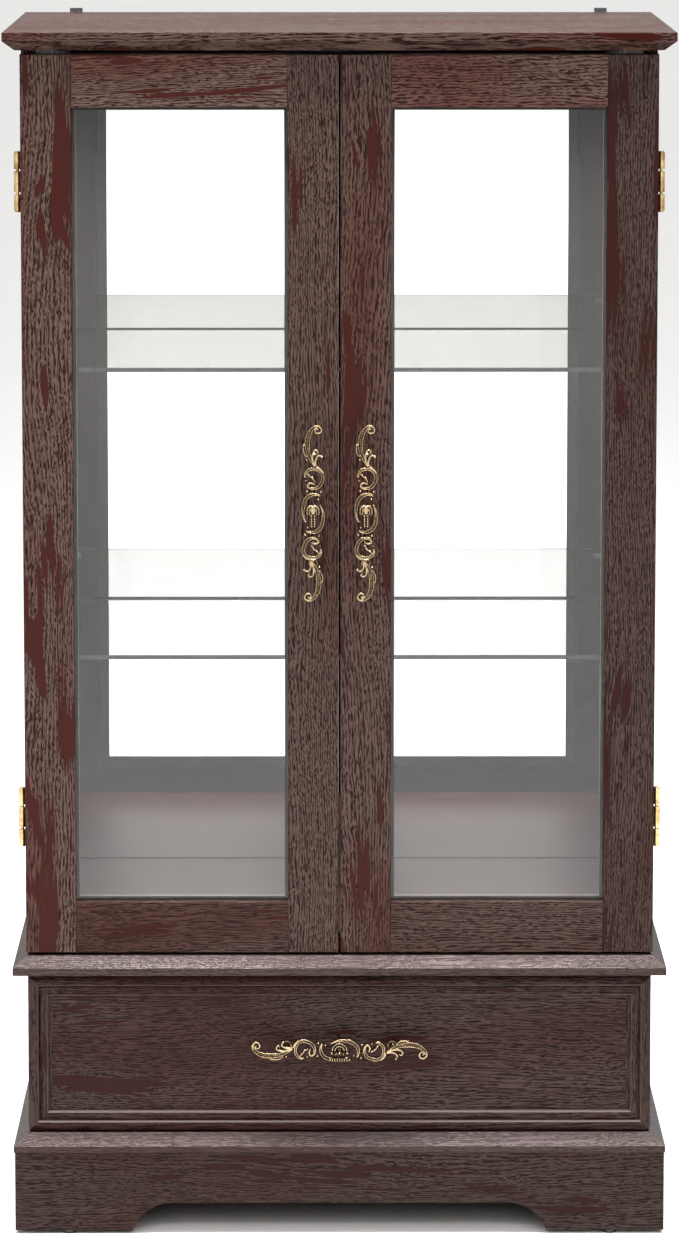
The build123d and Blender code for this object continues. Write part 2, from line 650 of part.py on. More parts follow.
def drawer_front_panel():
    """The drawer front: a border of two rolls, mitred at the corners, around a sunk field."""
    centre_z = (DRAWER_FRONT_BOTTOM + DRAWER_FRONT_TOP) / 2
    half_height = (DRAWER_FRONT_TOP - DRAWER_FRONT_BOTTOM) / 2
    half_width = HALF_DRAWER_FRONT
    loop = Polyline(
        (0, -half_height),
        (half_width, -half_height),
        (half_width, half_height),
        (-half_width, half_height),
        (-half_width, -half_height),
        (0, -half_height),
    )
    start = Plane(origin=(0, -half_height, 0), x_dir=(0, 1, 0), z_dir=(1, 0, 0))
    border = sweep(start * moulding_profile(), path=loop, transition=Transition.RIGHT)
    field_inset = MOULDING_CRESTS[1]
    thickness = DOOR_THICKNESS - DRAWER_RECESS
    field_size = (2 * (half_width - field_inset), 2 * (half_height - field_inset), thickness)
    field = Pos(0, 0, -thickness / 2) * Box(*field_size)
    place = Plane(origin=(0, FRONT + DRAWER_RECESS, centre_z), x_dir=(1, 0, 0), z_dir=(0, -1, 0))
    return place * (border + field)


def drawer():
    back_of_front = FRONT + DOOR_THICKNESS
    half_box = HALF_INSIDE - SLIDE_SPACE
    half_bay = half_box - BOX_SIDE
    rear = back_of_front + BOX_LENGTH
    tall = (BOX_BOTTOM, BOX_BOTTOM + BOX_HEIGHT)
    panel_low = BOX_BOTTOM + BOX_PANEL_RISE
    panel_high = panel_low + BOX_PANEL
    groove = block(
        (-half_bay - GROOVE_DEPTH, half_bay + GROOVE_DEPTH),
        (back_of_front - GROOVE_DEPTH, rear - BOX_SIDE + GROOVE_DEPTH),
        (panel_low - GROOVE_PLAY, panel_high + GROOVE_PLAY),
    )
    base_y = FRONT + DRAWER_RECESS
    places = handle_screw_places(0, DRAWER_HANDLE_Z, 90)
    parts["drawer_front"] = drawer_front_panel() - groove - handle_screw_holes(places)
    parts["drawer_handle"] = handle(0, base_y, DRAWER_HANDLE_Z, 90)
    parts["drawer_handle_screws"] = handle_screws(places, base_y, back_of_front)
    for side, sign in SIDES.items():
        across = (sign * half_bay, sign * half_box)
        parts[f"drawer_side_{side}"] = block(across, (back_of_front, rear), tall) - groove
    parts["drawer_back"] = block((-half_bay, half_bay), (rear - BOX_SIDE, rear), tall) - groove
    edge = GROOVE_DEPTH - GROOVE_PLAY
    parts["drawer_bottom"] = block(
        (-half_bay - edge, half_bay + edge),
        (back_of_front - edge, rear - BOX_SIDE + edge),
        (panel_low, panel_high),
    )


def channel(sign, web_x, reach, height, span):
    """A U-shaped slide member with its web at web_x, open in the direction of sign."""
    half = height / 2
    z = (SLIDE_Z - half, SLIDE_Z + half)
    lips_x = (web_x, web_x + sign * reach)
    shape = block((web_x, web_x + sign * SLIDE_SHEET), span, z)
    shape += block(lips_x, span, (z[0], z[0] + SLIDE_SHEET))
    shape += block(lips_x, span, (z[1] - SLIDE_SHEET, z[1]))
    return shape


def drawer_slides():
    half_box = HALF_INSIDE - SLIDE_SPACE
    outer_span = [CARCASS_FRONT + end for end in OUTER_SLIDE_ENDS]
    inner_span = [CARCASS_FRONT + end for end in INNER_SLIDE_ENDS]
    outer, inner = [], []
    for sign in SIDES.values():
        outer.append(
            channel(-sign, sign * HALF_INSIDE, OUTER_SLIDE_REACH, OUTER_SLIDE_HEIGHT, outer_span)
        )
        inner.append(channel(sign, sign * half_box, INNER_SLIDE_REACH, INNER_SLIDE_HEIGHT, inner_span))
    parts["slide_outer_members"] = group(outer)
    parts["slide_inner_members"] = group(inner)


# ---- anti-tip brackets -----------------------------------------------------------------------
def bracket_screw_z():
    return (TOP_BOTTOM + TOP_TOP) / 2


def bracket_screw_holes():
    places = [(sign * BRACKET_X, BACK, bracket_screw_z()) for sign in SIDES.values()]
    radius = BRACKET_SCREW_RADIUS + DOWEL_PLAY
    return group(rod(p, (0, -1, 0), BRACKET_SCREW_LENGTH, radius) for p in places)


def brackets():
    """Steel tabs on the top board's rear edge, with a hole for a wall strap."""
    tabs, screws = [], []
    tall = (TOP_TOP - BRACKET_DROP, TOP_TOP + BRACKET_RISE)
    strap_hole_z = TOP_TOP - BRACKET_DROP + BRACKET_HOLE_RISE
    screw_z = bracket_screw_z()
    screw_hole_radius = BRACKET_SCREW_RADIUS + DOWEL_PLAY
    for sign in SIDES.values():
        x = sign * BRACKET_X
        across = (x - BRACKET_WIDTH / 2, x + BRACKET_WIDTH / 2)
        tab = block(across, (BACK, BACK + BRACKET_SHEET), tall)
        tab -= rod((x, BACK, strap_hole_z), (0, 1, 0), BRACKET_SHEET, BRACKET_HOLE_RADIUS)
        tab -= rod((x, BACK, screw_z), (0, 1, 0), BRACKET_SHEET, screw_hole_radius)
        tabs.append(tab)
        seat = (x, BACK + BRACKET_SHEET, screw_z)
        length = BRACKET_SCREW_LENGTH
        screws.append(headed(seat, (0, -1, 0), length, BRACKET_SCREW_RADIUS, *BRACKET_SCREW_HEAD))
    parts["anti_tip_brackets"] = group(tabs)
    parts["bracket_screws"] = group(screws)


carcass()
plinth()
interior()
cabinet_hinge_parts()
for side_name, side_sign in SIDES.items():
    door(side_name, side_sign)
drawer()
drawer_slides()
brackets()

os.makedirs("parts", exist_ok=True)
for node_name, shape in parts.items():
    export_step(shape, f"parts/{node_name}.step")
print(len(parts), "sub-parts written")
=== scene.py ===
import math

import bmesh
import bpy
from mathutils import Matrix, Vector


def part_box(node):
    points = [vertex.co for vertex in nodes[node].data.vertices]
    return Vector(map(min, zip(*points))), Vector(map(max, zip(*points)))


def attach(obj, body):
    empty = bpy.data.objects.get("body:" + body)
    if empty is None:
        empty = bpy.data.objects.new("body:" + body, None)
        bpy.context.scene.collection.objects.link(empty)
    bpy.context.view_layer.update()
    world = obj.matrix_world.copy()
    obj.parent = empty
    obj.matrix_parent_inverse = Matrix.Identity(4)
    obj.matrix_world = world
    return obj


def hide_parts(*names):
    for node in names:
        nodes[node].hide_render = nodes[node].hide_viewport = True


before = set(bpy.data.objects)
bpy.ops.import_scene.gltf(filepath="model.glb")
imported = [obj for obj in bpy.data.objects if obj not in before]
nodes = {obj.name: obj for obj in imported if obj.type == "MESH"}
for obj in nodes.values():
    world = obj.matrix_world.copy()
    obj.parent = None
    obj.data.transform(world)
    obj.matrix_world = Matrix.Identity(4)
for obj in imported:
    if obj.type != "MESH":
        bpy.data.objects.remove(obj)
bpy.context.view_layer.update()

MM = 0.001
scene = bpy.context.scene
scene.view_settings.view_transform = "Standard"
scene.view_settings.look = "None"

# ---- places read from the frame --------------------------------------------------------------
door_low, door_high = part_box("left_hinge_stile")
DOOR_FRONT = door_low.y
drawer_low, drawer_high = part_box("drawer_front")

# Directions of the grain: the axis that the fibres follow.
ALONG_X, ALONG_Y, ALONG_Z = 0, 1, 2
BACKWARD = (0.0, 1.0, 0.0)


# ---- node helpers ----------------------------------------------------------------------------
class Nodes:
    """The node tree of a material or of the world, with short calls to add and join nodes."""

    def __init__(self, owner):
        owner.use_nodes = True
        self.tree = owner.node_tree
        self.tree.nodes.clear()
        self.output = None

    def add(self, kind, inputs=None, **settings):
        """A new node. inputs are values or sockets by name, and settings are the node's own properties."""
        node = self.tree.nodes.new("ShaderNode" + kind)
        for name, value in settings.items():
            setattr(node, name, value)
        for name, value in (inputs or {}).items():
            self.set(node.inputs[name], value)
        return node

    def set(self, socket, value):
        """Join a socket to another one, or give it a fixed value."""
        if isinstance(value, bpy.types.NodeSocket):
            self.tree.links.new(value, socket)
        else:
            socket.default_value = value

    def show(self, shader, output="OutputMaterial"):
        """Make this shader what the material or the world shows."""
        if self.output is None:
            self.output = self.add(output)
        self.set(self.output.inputs["Surface"], shader.outputs[0])

    def math(self, operation, *values):
        """The result of a Math node."""
        node = self.add("Math", operation=operation)
        for socket, value in zip(node.inputs, values):
            self.set(socket, value)
        return node.outputs[0]

    def vector(self, operation, *values):
        """The result of a Vector Math node: a vector, or a number from a dot product."""
        node = self.add("VectorMath", operation=operation)
        for socket, value in zip(node.inputs, values):
            self.set(socket, value)
        return node.outputs["Value" if operation == "DOT_PRODUCT" else "Vector"]

    def scaled(self, vector, factor):
        """A vector times a number."""
        node = self.add("VectorMath", {"Scale": factor}, operation="SCALE")
        self.set(node.inputs[0], vector)
        return node.outputs[0]

    def colour_mix(self, factor, a, b, blend="MIX"):
        """Mix two colours. The node keeps its colour sockets at places 6 and 7."""
        node = self.add("Mix", data_type="RGBA", blend_type=blend)
        for index, value in ((0, factor), (6, a), (7, b)):
            self.set(node.inputs[index], rgba(value) if isinstance(value, tuple) else value)
        return node.outputs[2]

    def number_mix(self, factor, a, b):
        """Mix two numbers. The node keeps its number sockets at places 2 and 3."""
        node = self.add("Mix", data_type="FLOAT")
        for index, value in ((0, factor), (2, a), (3, b)):
            self.set(node.inputs[index], value)
        return node.outputs[0]

    def ramp(self, value, *stops):
        """A colour ramp through (place, colour) stops."""
        node = self.add("ValToRGB", {"Fac": value})
        elements = node.color_ramp.elements
        elements.remove(elements[-1])
        elements[0].position, elements[0].color = stops[0][0], rgba(stops[0][1])
        for place, colour in stops[1:]:
            elements.new(place).color = rgba(colour)
        return node.outputs["Color"]

    def step(self, value, low, high, to_low=0.0, to_high=1.0):
        """A smooth step of value between low and high."""
        node = self.add("MapRange", interpolation_type="SMOOTHSTEP")
        for index, number in enumerate((value, low, high, to_low, to_high)):
            self.set(node.inputs[index], number)
        return node.outputs[0]

    def from_middle(self, value, middle):
        """How far a value is from the middle, either way."""
        return self.math("ABSOLUTE", self.math("SUBTRACT", value, middle))

    def noise(self, place, scale, detail=2.0, rough=0.5):
        """A noise field from 0 to 1 around a mean of 0.5."""
        values = {"Vector": place, "Scale": scale, "Detail": detail, "Roughness": rough}
        return self.add("TexNoise", values).outputs["Fac"]

    def place(self, offset=(0, 0, 0), stretch=(1, 1, 1)):
        """Positions on the piece, stretched and moved. They stay with the piece as it moves."""
        coordinates = self.add("TexCoord").outputs["Object"]
        values = {"Vector": coordinates, "Location": offset, "Scale": stretch}
        return self.add("Mapping", values).outputs[0]


def rgba(colour):
    """An RGB colour with full opacity."""
    return (*colour, 1.0)


def screen(red, green, blue):
    """The linear colour of an 8-bit screen colour."""
    def linear(value):
        value /= 255
        return value / 12.92 if value <= 0.04045 else ((value + 0.055) / 1.055) ** 2.4
    return linear(red), linear(green), linear(blue)


def surface(name):
    """A new material with a Principled shader: (material, node helper, shader)."""
    material = bpy.data.materials.new(name)
    tree = Nodes(material)
    shader = tree.add("BsdfPrincipled")
    tree.show(shader)
    return material, tree, shader


def relief(tree, shader, height, strength, depth):
    """Bump from a height between 0 and 1."""
    bump = tree.add("Bump", {"Strength": strength, "Distance": depth, "Height": height})
    tree.set(shader.inputs["Normal"], bump.outputs[0])


def dress(names, material):
    """Give each of these CAD nodes one material."""
    for name in names:
        slots = nodes[name].data.materials
        slots.clear()
        slots.append(material)


# ---- wood ------------------------------------------------------------------------------------
PORE_DARK = screen(27, 9, 6)
WOOD_GROUND = screen(50, 21, 15)
# ridge colours: the foil's pale ridges with painted sheen on them
RIDGE_PALE_AND_SHEEN = screen(106, 85, 77)
RIDGE_RED_AND_SHEEN = screen(98, 63, 55)
HEARTWOOD = screen(66, 22, 15)
LACQUER_TINT = (1.0, 0.84, 0.83)
LACQUER_ROUGHNESS = (0.5, 0.36)     # in the valleys and on the ridges
EMBOSSING_DEPTH = 0.2 * MM
EMBOSSING_STRENGTH = 0.6

# Patterns are drawn out along the fibres: the scale there is this share of the scale across them.
FIBRE_SHARE = {ALONG_X: 0.085, ALONG_Y: 0.11, ALONG_Z: 0.115}
SLOW_SHARE, QUICK_SHARE = 0.20, 0.30

# how far the fibres wander over the board and waver over a few centimetres
WANDER_SCALE, WANDER = 12.0, 30 * MM
WAVER_SCALE, WAVER = 90.0, 3.4 * MM

# dark veins, and the short ridges between them
VEIN_SPACING = 7.5 * MM
VEIN_WARP_SCALE = 17.0
VEIN_WARP, FIGURED_WARP = 18.0, 75.0
VEIN_EDGE = (-0.3, -0.9)
RAGGEDNESS = 1.6
RIDGE_SPACING = 2.7 * MM
FIBRES_PER_METRE = 1550.0
FIBRE_ROUGHNESS = 0.35
COMB_WEIGHT, VEIN_WEIGHT = 0.09, 0.07
RIDGE_EDGE = (0.42, 0.52)
VALLEY_EDGE = (0.26, 0.40)
WARM_SCALE, WARM_EDGE = 15.0, (0.45, 0.66)

# smooth heartwood shows where a slow field passes a level that falls as the figure grows
HEART_SCALE = 46.0
HEART_WAVE, HEART_FIELD = 0.5, 9.0
HEART_LEVEL, HEART_PER_FIGURE, HEART_EDGE = 6.25, 1.1, 0.15
HEART_HEIGHT = 0.8

# the plain foil of an inner face: how squarely a face looks inward where it begins and is complete
INNER_EDGE = (0.5, 0.9)
INNER_PLAINNESS, INNER_HEIGHT = 0.85, 0.5


def stretched(along, share):
    """Scales that lengthen a pattern along one axis by 1 / share."""
    return tuple(share if axis == along else 1.0 for axis in range(3))


def grain(tree, along, seed, figure, inward=BACKWARD):
    """Colour and height of the embossed foil: short wavy ridges with painted sheen, dark veins and smooth
    heartwood.

    along is the axis of the fibres. seed moves the pattern, so that no two boards match.
    figure is how strongly the veins arch and how much smooth heartwood shows, from 0 to 1.
    inward is the way that the board's plain inner face looks.
    """
    offset = (seed * 1.37, seed * 2.11, seed * 0.73)
    slow = tree.place(offset, stretched(along, SLOW_SHARE))
    quick = tree.place(offset, stretched(along, QUICK_SHARE))
    fibres = tree.place(offset, stretched(along, FIBRE_SHARE[along]))

    # fibres wander slowly over the board and waver over a few centimetres
    for place, scale, amount in ((slow, WANDER_SCALE, WANDER), (quick, WAVER_SCALE, WAVER)):
        field = tree.add("TexNoise", {"Vector": place, "Scale": scale, "Detail": 1.0}).outputs["Color"]
        drift = tree.scaled(tree.vector("SUBTRACT", field, (0.5, 0.5, 0.5)), amount)
        fibres = tree.vector("ADD", fibres, drift)

    # veins run side by side across the board and arch where the slow field is strong
    split = tree.add("SeparateXYZ", {"Vector": fibres})
    across = [split.outputs[axis] for axis in range(3) if axis != along]
    side_by_side = tree.math("ADD", *across)
    lines = tree.math("MULTIPLY", side_by_side, 2 * math.pi / VEIN_SPACING)
    warp = VEIN_WARP + FIGURED_WARP * figure
    field = tree.noise(slow, VEIN_WARP_SCALE, 1.0)
    phase = tree.math("ADD", lines, tree.math("MULTIPLY", field, warp))
    ticks = tree.noise(fibres, FIBRES_PER_METRE, 1.0, FIBRE_ROUGHNESS)
    ragged = tree.math("MULTIPLY", tree.math("SUBTRACT", ticks, 0.5), RAGGEDNESS)
    wave = tree.math("ADD", tree.math("SINE", phase), ragged)
    vein = tree.step(wave, *VEIN_EDGE)

    # smooth heartwood follows the veins' ragged edges
    zone = tree.noise(slow, HEART_SCALE, 1.0)
    level = tree.math("MULTIPLY", wave, HEART_WAVE)
    level = tree.math("ADD", level, tree.math("MULTIPLY", zone, HEART_FIELD))
    smooth_from = HEART_LEVEL - HEART_PER_FIGURE * figure
    heart = tree.step(level, smooth_from, smooth_from + HEART_EDGE)

    # short ridges stand between the veins; their pale colour is partly the foil's own and partly painted
    # sheen
    comb = tree.math("SINE", tree.math("MULTIPLY", side_by_side, 2 * math.pi / RIDGE_SPACING))
    body = tree.math("ADD", ticks, tree.math("MULTIPLY", comb, COMB_WEIGHT))
    body = tree.math("SUBTRACT", body, tree.math("MULTIPLY", vein, VEIN_WEIGHT))
    ridge = tree.step(body, *RIDGE_EDGE)
    warmth = tree.step(tree.noise(slow, WARM_SCALE, 1.0), *WARM_EDGE)
    light = tree.colour_mix(warmth, RIDGE_PALE_AND_SHEEN, RIDGE_RED_AND_SHEEN)
    valley = tree.colour_mix(tree.step(body, *VALLEY_EDGE), PORE_DARK, WOOD_GROUND)
    colour = tree.colour_mix(ridge, valley, light)
    colour = tree.colour_mix(heart, colour, HEARTWOOD)
    height = tree.number_mix(heart, ridge, HEART_HEIGHT)

    # the face that looks into the cabinet has a plainer foil
    facing = tree.vector("DOT_PRODUCT", tree.add("TexCoord").outputs["Normal"], inward)
    inner = tree.step(facing, *INNER_EDGE)
    colour = tree.colour_mix(tree.math("MULTIPLY", inner, INNER_PLAINNESS), colour, WOOD_GROUND)
    height = tree.number_mix(inner, height, INNER_HEIGHT)
    return colour, height


def finish_wood(tree, shader, colour, height, tone, gloss):
    """Lacquer over the foil: tone darkens its colour, and gloss is the lacquer's specular level."""
    toned = tree.colour_mix(1.0, colour, (tone, tone, tone), blend="MULTIPLY")
    tree.set(shader.inputs["Base Color"], toned)
    tree.set(shader.inputs["Roughness"], tree.number_mix(height, *LACQUER_ROUGHNESS))
    shader.inputs["Specular IOR Level"].default_value = gloss
    shader.inputs["Specular Tint"].default_value = rgba(LACQUER_TINT)
    relief(tree, shader, height, EMBOSSING_STRENGTH, EMBOSSING_DEPTH)


def wood(name, along, seed, figure, tone, gloss, inward):
    """Mahogany-coloured foil, one board."""
    material, tree, shader = surface(name)
    colour, height = grain(tree, along, seed, figure, inward)
    finish_wood(tree, shader, colour, height, tone, gloss)
    return material


# The drawer front's border: its width, the distance of its two crests from the edge, and the painted
# highlight along them.
DRAWER_BORDER = 22 * MM
DRAWER_CRESTS = (8.6 * MM, 17.6 * MM)
CREST_HALF_WIDTH = (0.5 * MM, 1.1 * MM)
CREST_HIGHLIGHT_COLOUR = (0.75, 0.62, 0.60)
CREST_HIGHLIGHT_SHARE, LOWER_CREST_HIGHLIGHT_SHARE = 0.12, 0.45
DRAWER_FIGURE = 0.3
DRAWER_TONE = 0.28


def framed_wood(name, seed, tone, gloss):
    """The drawer front: grain along X, but upright in the mitred end bands of its border."""
    material, tree, shader = surface(name)
    level_colour, level_height = grain(tree, ALONG_X, seed, DRAWER_FIGURE)
    upright_colour, upright_height = grain(tree, ALONG_Z, seed + 3, 0.0)
    split = tree.add("SeparateXYZ", {"Vector": tree.add("TexCoord").outputs["Object"]})
    middle = (drawer_low + drawer_high) / 2
    half = (drawer_high - drawer_low) / 2
    from_side = tree.math("SUBTRACT", half.x, tree.from_middle(split.outputs["X"], middle.x))
    from_edge = tree.math("SUBTRACT", half.z, tree.from_middle(split.outputs["Z"], middle.z))
    nearer_side = tree.math("LESS_THAN", from_side, from_edge)
    in_band = tree.math("LESS_THAN", from_side, DRAWER_BORDER)
    upright = tree.math("MULTIPLY", nearer_side, in_band)
    colour = tree.colour_mix(upright, level_colour, upright_colour)
    height = tree.number_mix(upright, level_height, upright_height)

    # painted highlight: pale colour along the border's two crests, strongest along the bottom border
    inset = tree.math("MINIMUM", from_side, from_edge)
    below = tree.math("LESS_THAN", split.outputs["Z"], middle.z)
    lower_highlight = tree.math("MULTIPLY", below, LOWER_CREST_HIGHLIGHT_SHARE)
    lower_highlight = tree.math("MULTIPLY", lower_highlight, tree.math("SUBTRACT", 1.0, nearer_side))
    crest_highlight = tree.math("ADD", lower_highlight, CREST_HIGHLIGHT_SHARE)
    for crest in DRAWER_CRESTS:
        near_crest = tree.step(tree.from_middle(inset, crest), *CREST_HALF_WIDTH, 1.0, 0.0)
        colour = tree.colour_mix(tree.math("MULTIPLY", near_crest, crest_highlight), colour, CREST_HIGHLIGHT_COLOUR)
    finish_wood(tree, shader, colour, height, tone, gloss)
    return material


WOOD_GLOSS = 0.13
LEDGE_GLOSS = 0.3

# each board's grain direction, figure, tone of its foil and gloss
BOARDS = {
    "top_board": (ALONG_X, 0.1, 0.42, 0.05),
    "waist_board": (ALONG_X, 0.1, 0.22, LEDGE_GLOSS),
    "base_board": (ALONG_X, 0.1, 0.22, LEDGE_GLOSS),
    "display_floor": (ALONG_X, 0.2, 1.0, 0.13),
    "plinth_front": (ALONG_X, 0.25, 0.22, WOOD_GLOSS),
    "plinth_back": (ALONG_X, 0.2, 0.6, WOOD_GLOSS),
    "plinth_side_left": (ALONG_Y, 0.2, 0.6, WOOD_GLOSS),
    "plinth_side_right": (ALONG_Y, 0.2, 0.6, WOOD_GLOSS),
    "upper_side_left": (ALONG_Z, 0.15, 0.6, WOOD_GLOSS),
    "upper_side_right": (ALONG_Z, 0.15, 0.6, WOOD_GLOSS),
    "lower_side_left": (ALONG_Z, 0.15, 0.6, WOOD_GLOSS),
    "lower_side_right": (ALONG_Z, 0.15, 0.6, WOOD_GLOSS),
    "left_hinge_stile": (ALONG_Z, 1.0, 0.51, WOOD_GLOSS),
    "left_meeting_stile": (ALONG_Z, 0.1, 0.42, WOOD_GLOSS),
    "right_meeting_stile": (ALONG_Z, 0.7, 0.44, WOOD_GLOSS),
    "right_hinge_stile": (ALONG_Z, 0.6, 0.3, WOOD_GLOSS),
    "left_top_rail": (ALONG_X, 0.2, 0.68, WOOD_GLOSS),
    "left_bottom_rail": (ALONG_X, 0.25, 0.36, WOOD_GLOSS),
    "right_top_rail": (ALONG_X, 0.2, 0.62, WOOD_GLOSS),
    "right_bottom_rail": (ALONG_X, 0.25, 0.36, WOOD_GLOSS),
}

# the way that a board's plain inner face looks, where it isn't backward
INWARD = {
    "upper_side_left": (1.0, 0.0, 0.0),
    "upper_side_right": (-1.0, 0.0, 0.0),
    "display_floor": (0.0, 0.0, 1.0),
}
for seed, (board, (along, figure, tone, gloss)) in enumerate(BOARDS.items(), start=1):
    inward = INWARD.get(board, BACKWARD)
    dress([board], wood(f"mahogany_{board}", along, seed, figure, tone, gloss, inward))
drawer_wood = framed_wood("mahogany_drawer_front", len(BOARDS) + 1, DRAWER_TONE, WOOD_GLOSS)
dress(["drawer_front"], drawer_wood)


# ---- other sheet and solid wood --------------------------------------------------------------
# Most of a noise field lies in this band, and a cloudy finish turns from dark to light within it.
NOISE_BAND = (0.3, 0.7)
CLOUD_DARK, CLOUD_LIGHT = 0.36, 0.6
ROUGH_NOISE = 0.6


def plain_grain(name, along, dark, light, scale, roughness):
    """Fine straight grain between two colours."""
    material, tree, shader = surface(name)
    fibres = tree.place(stretch=stretched(along, 0.03))
    fine = tree.noise(fibres, scale, 3.0, ROUGH_NOISE)
    broad = tree.noise(fibres, scale / 9, 1.0)
    mixed = tree.math("ADD", tree.math("MULTIPLY", fine, 0.6), tree.math("MULTIPLY", broad, 0.4))
    tree.set(shader.inputs["Base Color"], tree.ramp(mixed, (0.36, dark), (0.62, light)))
    tree.set(shader.inputs["Roughness"], tree.step(fine, *NOISE_BAND, roughness, roughness + 0.12))
    shader.inputs["Specular IOR Level"].default_value = 0.3
    relief(tree, shader, fine, 0.25, 0.15 * MM)
    return material


def hardboard():
    """Pressed fibre board with short random fibres."""
    material, tree, shader = surface("back_board")
    fibres = tree.noise(tree.place(stretch=(1.0, 1.0, 0.45)), 900.0, 3.0, 0.7)
    clouds = tree.noise(tree.place(), 14.0, 2.0)
    mixed = tree.math("ADD", tree.math("MULTIPLY", fibres, 0.86), tree.math("MULTIPLY", clouds, 0.14))
    stops = ((0.3, screen(92, 66, 46)), (0.52, screen(122, 92, 66)), (0.72, screen(146, 114, 84)))
    tree.set(shader.inputs["Base Color"], tree.ramp(mixed, *stops))
    tree.set(shader.inputs["Roughness"], tree.step(fibres, *NOISE_BAND, 0.55, 0.8))
    relief(tree, shader, fibres, 0.3, 0.1 * MM)
    return material


BOX_DARK, BOX_LIGHT = screen(60, 36, 30), screen(96, 62, 50)
BEECH_DARK, BEECH_LIGHT = screen(180, 140, 98), screen(214, 178, 134)
side_wood = plain_grain("drawer_box_wood", ALONG_Y, BOX_DARK, BOX_LIGHT, 420.0, 0.45)
cross_wood = plain_grain("drawer_box_wood_x", ALONG_X, BOX_DARK, BOX_LIGHT, 420.0, 0.45)
beech = plain_grain("beech", ALONG_Z, BEECH_DARK, BEECH_LIGHT, 900.0, 0.6)
dress(["drawer_side_left", "drawer_side_right"], side_wood)
dress(["drawer_back", "drawer_bottom"], cross_wood)
dress(["carcass_dowels"], beech)
dress(["upper_back_panel", "lower_back_panel"], hardboard())


# ---- metals ----------------------------------------------------------------------------------
def metal(name, dark, light, roughness, scale):
    """A metal with cloudy tarnish between two colours and a slightly uneven surface."""
    material, tree, shader = surface(name)
    clouds = tree.noise(tree.place(), scale, 4.0, ROUGH_NOISE)
    fine = tree.noise(tree.place(), scale * 7, 2.0, ROUGH_NOISE)
    mixed = tree.math("ADD", tree.math("MULTIPLY", clouds, 0.7), tree.math("MULTIPLY", fine, 0.3))
    tree.set(shader.inputs["Base Color"], tree.ramp(mixed, (CLOUD_DARK, dark), (CLOUD_LIGHT, light)))
    tree.set(shader.inputs["Roughness"], tree.step(mixed, *NOISE_BAND, roughness + 0.12, roughness))
    shader.inputs["Metallic"].default_value = 1.0
    relief(tree, shader, fine, 0.3, 0.02 * MM)
    return material


BRIGHT_BRASS = (screen(160, 128, 82), screen(220, 192, 142))
DULL_BRASS = (screen(40, 33, 25), screen(58, 48, 36))


def hinge_brass():
    """Bright barrels outside; the leaves inside are darker and rougher."""
    material, tree, shader = surface("polished_brass")
    split = tree.add("SeparateXYZ", {"Vector": tree.add("TexCoord").outputs["Object"]})
    barrel_edge = max(abs(door_low.x), abs(door_high.x))
    aside = tree.math("ABSOLUTE", split.outputs["X"])
    outside = tree.step(aside, barrel_edge - 1.0 * MM, barrel_edge)
    clouds = tree.noise(tree.place(), 90.0, 4.0, ROUGH_NOISE)
    bright = tree.ramp(clouds, (CLOUD_DARK, BRIGHT_BRASS[0]), (CLOUD_LIGHT, BRIGHT_BRASS[1]))
    dull = tree.ramp(clouds, (CLOUD_DARK, DULL_BRASS[0]), (CLOUD_LIGHT, DULL_BRASS[1]))
    tree.set(shader.inputs["Base Color"], tree.colour_mix(outside, dull, bright))
    tree.set(shader.inputs["Roughness"], tree.number_mix(outside, 0.55, 0.24))
    shader.inputs["Metallic"].default_value = 1.0
    relief(tree, shader, clouds, 0.2, 0.03 * MM)
    return material


brass = hinge_brass()
screw_brass = metal("brass_screws", screen(44, 36, 27), screen(66, 55, 41), 0.5, 300.0)
zinc = metal("zinc_steel", screen(120, 122, 126), screen(178, 180, 184), 0.32, 160.0)
grey_steel = metal("grey_steel", screen(70, 70, 72), screen(104, 104, 106), 0.45, 400.0)
for side in ("left", "right"):
    dress([f"{side}_hinge_leaves"], brass)
    dress([f"{side}_leaf_screws", f"{side}_handle_screws"], screw_brass)
    dress([f"{side}_strike_plate"], zinc)
dress(["hinge_cabinet_leaves", "hinge_pins"], brass)
dress(["cabinet_leaf_screws", "drawer_handle_screws"], screw_brass)
dress(["cam_locks", "cam_bolts", "slide_outer_members", "slide_inner_members", "shelf_pegs"], zinc)
dress(["anti_tip_brackets", "bracket_screws"], grey_steel)


# ---- plastics --------------------------------------------------------------------------------
def plastic(name, colour, roughness):
    """Moulded plastic with a fine spark-eroded texture."""
    material, tree, shader = surface(name)
    texture = tree.noise(tree.place(), 2400.0, 2.0, ROUGH_NOISE)
    tone = tree.noise(tree.place(), 60.0, 2.0)
    darker = tuple(value * 0.7 for value in colour)
    tree.set(shader.inputs["Base Color"], tree.ramp(tone, (0.35, darker), (0.65, colour)))
    tree.set(shader.inputs["Roughness"], tree.step(texture, *NOISE_BAND, roughness, roughness + 0.15))
    relief(tree, shader, texture, 0.35, 0.03 * MM)
    return material


dark_plastic = plastic("dark_plastic", screen(38, 30, 28), 0.45)
dress(["magnetic_catch", "floor_glides", "door_bumpers"], dark_plastic)
retainer = plastic("dark_retainer", screen(66, 58, 56), 0.35)
dress(["left_glass_retainers", "right_glass_retainers"], retainer)


# ---- glass and mirror ------------------------------------------------------------------------
GLASS_IOR = 1.42
DOOR_TINT = (0.97, 0.985, 0.98)
SHELF_TINT = (0.99, 0.993, 0.99)
CUT_EDGE_GREY = screen(120, 124, 122)
SILVER = (0.90, 0.915, 0.91)
TARNISH_RAGGED = 0.5 * MM
TARNISH_EDGE = (0.4 * MM, 2.0 * MM)


